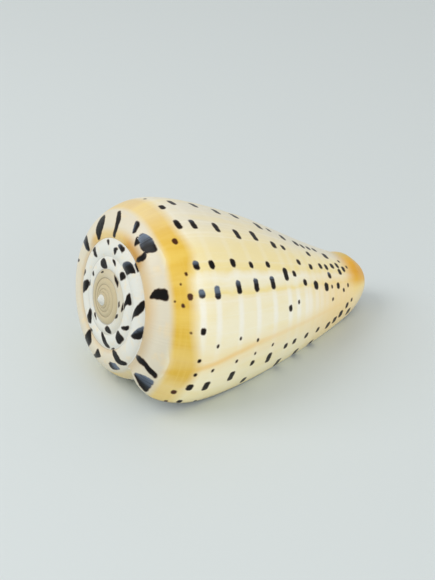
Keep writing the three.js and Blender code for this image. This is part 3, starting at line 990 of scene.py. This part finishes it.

# %% [markdown]
# ## The spire and the marks
#
# On the ramp the colour depends on how close the suture is: stained beside it, pale by the shoulder, with a
# thin line of painted shade along the suture's groove. The older whorls are chalky, with a blue tint that is a
# painted reflection, the earliest ones tan, and the point is pale again in the same chalk. The marks go on
# last. Their edge is a distance worked out from what the corners keep, roughened a little by noise, because no
# mark on a real shell has a ruled edge. A grey-blue share on some marks is a painted reflection in their
# gloss.

# %% The ramp: a pale band by the shoulder, a stained zone by the suture, a line of painted shade along the suture, chalky older whorls with a painted bluish reflection, tan middle
RAMP_FADE_START, RAMP_FADE_END = 5.2, 9.0
STAIN_RANGE = 10.0
STAIN_CORE, STAIN_FADE = 0.35, 1.1
STAIN_RAMP_END = 400.0
CHALK_START, CHALK_FULL = 340.0, 380.0
TAN_START, TAN_FULL = 1000.0, 1300.0
BEAD_START, BEAD_FULL = 2650.0, 2850.0
ramp_mask = along_section(RAMP_FADE_START, RAMP_FADE_END, to_low=1.0, to_high=0.0)
stain_width = finish.ramp(stage, [
    (0.0, 0.45), (20.0, 0.65), (60.0, 0.85), (95.0, 0.8), (125.0, 0.65), (150.0, 0.45), (180.0, 0.45),
    (190.0, 0.2), (330.0, 0.25), (360.0, 0.1),
], FULL_TURN)
stain_edge = scaled(stain_width, STAIN_RANGE)
stain_mask = finish.range(finish.math("DIVIDE", along, stain_edge), STAIN_CORE, STAIN_FADE, 1.0, 0.0)
stain_strength = finish.ramp(stage, [
    (0.0, 0.5), (30.0, 0.6), (45.0, 0.55), (60.0, 0.6), (90.0, 0.5), (98.0, 0.95), (118.0, 0.95),
    (135.0, 0.7), (150.0, 0.6), (178.0, 0.75), (190.0, 0.25), (300.0, 0.2), (345.0, 0.25), (362.0, 0.0),
], STAIN_RAMP_END)
# Chalky older whorls: their own pale colour plus a blue tint that is a painted reflection.
spire = finish.mix(finish.range(growth, CHALK_START, CHALK_FULL), BAND, CHALK_AND_BLUE_SHEEN)
spire = finish.mix(where_high(patches, 0.5, 0.72, strength=0.25), spire, PEACH)
stain_colour = finish.ramp(stage, [
    (0.0, tint(190, 166, 118)), (35.0, tint(180, 148, 92)), (55.0, tint(214, 168, 84)),
    (85.0, tint(214, 166, 60)), (100.0, tint(190, 134, 8)), (116.0, tint(210, 150, 10)),
    (130.0, tint(238, 196, 84)), (160.0, tint(244, 206, 106)), (190.0, STAIN), (360.0, STAIN),
], STAIN_RAMP_END)
spire = finish.mix(scaled(stain_mask, stain_strength), spire, stain_colour)
spire = finish.mix(finish.range(growth, TAN_START, TAN_FULL), spire, TAN)
# A dark line along each suture is painted shade in the groove where one whorl meets the next, wider and darker
# on the older whorls.
suture_shade_width = finish.range(growth, 600.0, 1200.0, to_low=0.7, to_high=1.8)
suture_shade_strength = finish.range(growth, 500.0, 1200.0, to_low=0.22, to_high=0.55)
suture_shade_line = finish.range(along, 0.0, suture_shade_width, 1.0, 0.0)
spire = finish.mix(scaled(suture_shade_line, suture_shade_strength), spire, UMBER)
# The point takes the same chalk, with its painted bluish reflection.
spire = finish.mix(finish.range(growth, BEAD_START, BEAD_FULL), spire, CHALK_AND_BLUE_SHEEN)
colour = finish.mix(ramp_mask, body, spire)

# %% How far outside its mark a point is, as in rounded_distance, with an edge roughened by noise
RAGGED_SCALE, RAGGED_DETAIL, RAGGED_MM = 700.0, 3.0, 0.7
mark_x = finish.attribute("mark_x")
half_x = finish.attribute("half_x")
half_y = finish.attribute("half_y")
smaller_half = finish.math("MINIMUM", half_x, half_y)
rounding = finish.math("MINIMUM", scaled(smaller_half, ROUNDING_SHARE), EDGE_ROUNDING)


def beyond(offset, half):
    """How far past the start of a mark's rounded corner a point is, in one direction."""
    return finish.math("ADD", finish.math("SUBTRACT", finish.math("ABSOLUTE", offset), half), rounding)


over_x = beyond(mark_x, half_x)
over_y = beyond(finish.attribute("mark_y"), half_y)
corner_part = finish.math("SQRT", finish.math(
    "ADD",
    finish.math("POWER", finish.math("MAXIMUM", over_x, 0.0), 2.0),
    finish.math("POWER", finish.math("MAXIMUM", over_y, 0.0), 2.0),
))
inside_part = finish.math("MINIMUM", finish.math("MAXIMUM", over_x, over_y), 0.0)
distance = finish.math("ADD", corner_part, inside_part)
distance = finish.math("SUBTRACT", distance, rounding)
position = finish.tree.nodes.new("ShaderNodeNewGeometry").outputs["Position"]
jitter = finish.math("SUBTRACT", finish.noise(position, RAGGED_SCALE, RAGGED_DETAIL), 0.5)
edge = finish.math("ADD", distance, scaled(jitter, RAGGED_MM))

# %% The marks' colours: black, brown at the rim, some with a painted grey-blue reflection on the older side, brown in the golden band
EDGE_SOFTNESS = 0.28
RIM_WIDTH, RIM_STRENGTH = 0.55, 0.7
SHEEN_REACH, SHEEN_START, SHEEN_FULL = 2.0, 0.5, 1.9
SHEEN_GAIN, MOST_SHEEN = 3.0, 0.9
mark_mask = finish.range(edge, -EDGE_SOFTNESS, EDGE_SOFTNESS, 1.0, 0.0)
# The grey-blue share is a painted bluish reflection in the marks' gloss, broken up by the growth ridges.
blue = finish.attribute("mark_sheen")
side = finish.math("ADD", finish.math("DIVIDE", mark_x, half_x), scaled(blue, SHEEN_REACH))
sheen_side = finish.range(side, SHEEN_START, SHEEN_FULL)
sheen_share = scaled(sheen_side, finish.math("MINIMUM", scaled(blue, SHEEN_GAIN), MOST_SHEEN))
ridge_noise = drawn_out(per_degree=1.1, per_mm=0.05, detail=1.0)
ridges = finish.range(ridge_noise, 0.3, 0.5, to_low=0.35, to_high=1.0)
mark_colour = finish.mix(finish.range(edge, -RIM_WIDTH, 0.0, 0.0, RIM_STRENGTH), BLACK, UMBER)
mark_colour = finish.mix(scaled(sheen_share, ridges), mark_colour, SHEEN_BLUE)
in_band = scaled(along_section(7.0, 8.0), along_section(13.5, 14.5, to_low=0.8, to_high=0.0))
mark_colour = finish.mix(in_band, mark_colour, BAND_MARK)
colour = finish.mix(mark_mask, colour, mark_colour)
colour = finish.mix(outside_share, INSIDE, colour)

# %% Put it on the shell
ROUGHNESS = 0.34
WALL_GLOSS, MARK_GLOSS = 0.25, 0.12
COAT_WEIGHT, COAT_ROUGHNESS = 0.1, 0.1
GROWTH_LINE_HEIGHT = 0.12
finish.link(colour, finish.shader.inputs["Base Color"])
finish.shader.inputs["Roughness"].default_value = ROUGHNESS
gloss = finish.range(mark_mask, 0.0, 1.0, WALL_GLOSS, MARK_GLOSS)
finish.link(gloss, finish.shader.inputs["Specular IOR Level"])
finish.shader.inputs["Coat Weight"].default_value = COAT_WEIGHT
finish.shader.inputs["Coat Roughness"].default_value = COAT_ROUGHNESS
finish.link(finish.bump(growth_lines, GROWTH_LINE_HEIGHT * MM), finish.shader.inputs["Normal"])
shell.data.materials.append(finish.material)

# %% [markdown]
# ## Floor, camera and light
#
# The shell lies on a plain pale floor. One soft lamp behind it on the left makes the shadow fall to the front
# and right, a low one in front opens up the underside, and the sky does the rest.

# %% Floor
FLOOR_SIZE = 3.0
FLOOR_COLOUR = tint(212, 220, 221)
FLOOR_ROUGHNESS = 0.6
floor_mesh = bpy.data.meshes.new("floor")
half = FLOOR_SIZE / 2.0
floor_corners = [(-half, -half, 0.0), (half, -half, 0.0), (half, half, 0.0), (-half, half, 0.0)]
floor_mesh.from_pydata(floor_corners, [], [(0, 1, 2, 3)])
floor = bpy.data.objects.new("floor", floor_mesh)
bpy.context.scene.collection.objects.link(floor)
ground = Finish("pale_floor")
ground.shader.inputs["Base Color"].default_value = FLOOR_COLOUR
ground.shader.inputs["Roughness"].default_value = FLOOR_ROUGHNESS
floor.data.materials.append(ground.material)

# %% Camera
AZIMUTH = math.radians(-31.76)
ELEVATION = math.radians(30.04)
CAMERA_DISTANCE = 433.5
AIM_RIGHT = -7.05
AIM_UP = 16.83
LENS = 81.1
VIEW_END = 10.0

back = np.array([
    math.sin(AZIMUTH) * math.cos(ELEVATION),
    -math.cos(AZIMUTH) * math.cos(ELEVATION),
    math.sin(ELEVATION),
])
right = np.array([math.cos(AZIMUTH), math.sin(AZIMUTH), 0.0])
up = np.cross(back, right)
camera_data = bpy.data.cameras.new("camera")
camera_data.lens = LENS
camera_data.clip_end = VIEW_END
camera = bpy.data.objects.new("camera", camera_data)
bpy.context.scene.collection.objects.link(camera)
camera.location = (right * AIM_RIGHT + up * AIM_UP + back * CAMERA_DISTANCE) * MM
camera.rotation_euler = (math.pi / 2.0 - ELEVATION, 0.0, AZIMUTH)
bpy.context.scene.camera = camera

# %% Light
SKY_COLOUR = (1.0, 0.995, 0.98, 1.0)
SKY_STRENGTH = 0.69


def soft_light(name, position, size, energy):
    """A square lamp that faces the shell."""
    data = bpy.data.lights.new(name, "AREA")
    data.size = size
    data.energy = energy
    lamp = bpy.data.objects.new(name, data)
    bpy.context.scene.collection.objects.link(lamp)
    lamp.location = position
    x, y, z = position
    lamp.rotation_euler = (math.acos(z / math.hypot(x, y, z)), 0.0, math.atan2(x, -y))


soft_light("key_light", position=(-0.5, 0.22, 0.62), size=0.5, energy=2.5)
soft_light("front_light", position=(0.05, -0.8, 0.2), size=0.7, energy=1.9)
world = bpy.data.worlds.new("studio")
bpy.context.scene.world = world
world.use_nodes = True
background = world.node_tree.nodes["Background"]
background.inputs["Color"].default_value = SKY_COLOUR
background.inputs["Strength"].default_value = SKY_STRENGTH
bpy.context.scene.view_settings.view_transform = "Standard"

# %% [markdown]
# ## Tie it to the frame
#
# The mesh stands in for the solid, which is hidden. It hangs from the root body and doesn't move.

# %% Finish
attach(shell, "root")
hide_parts(NODE)
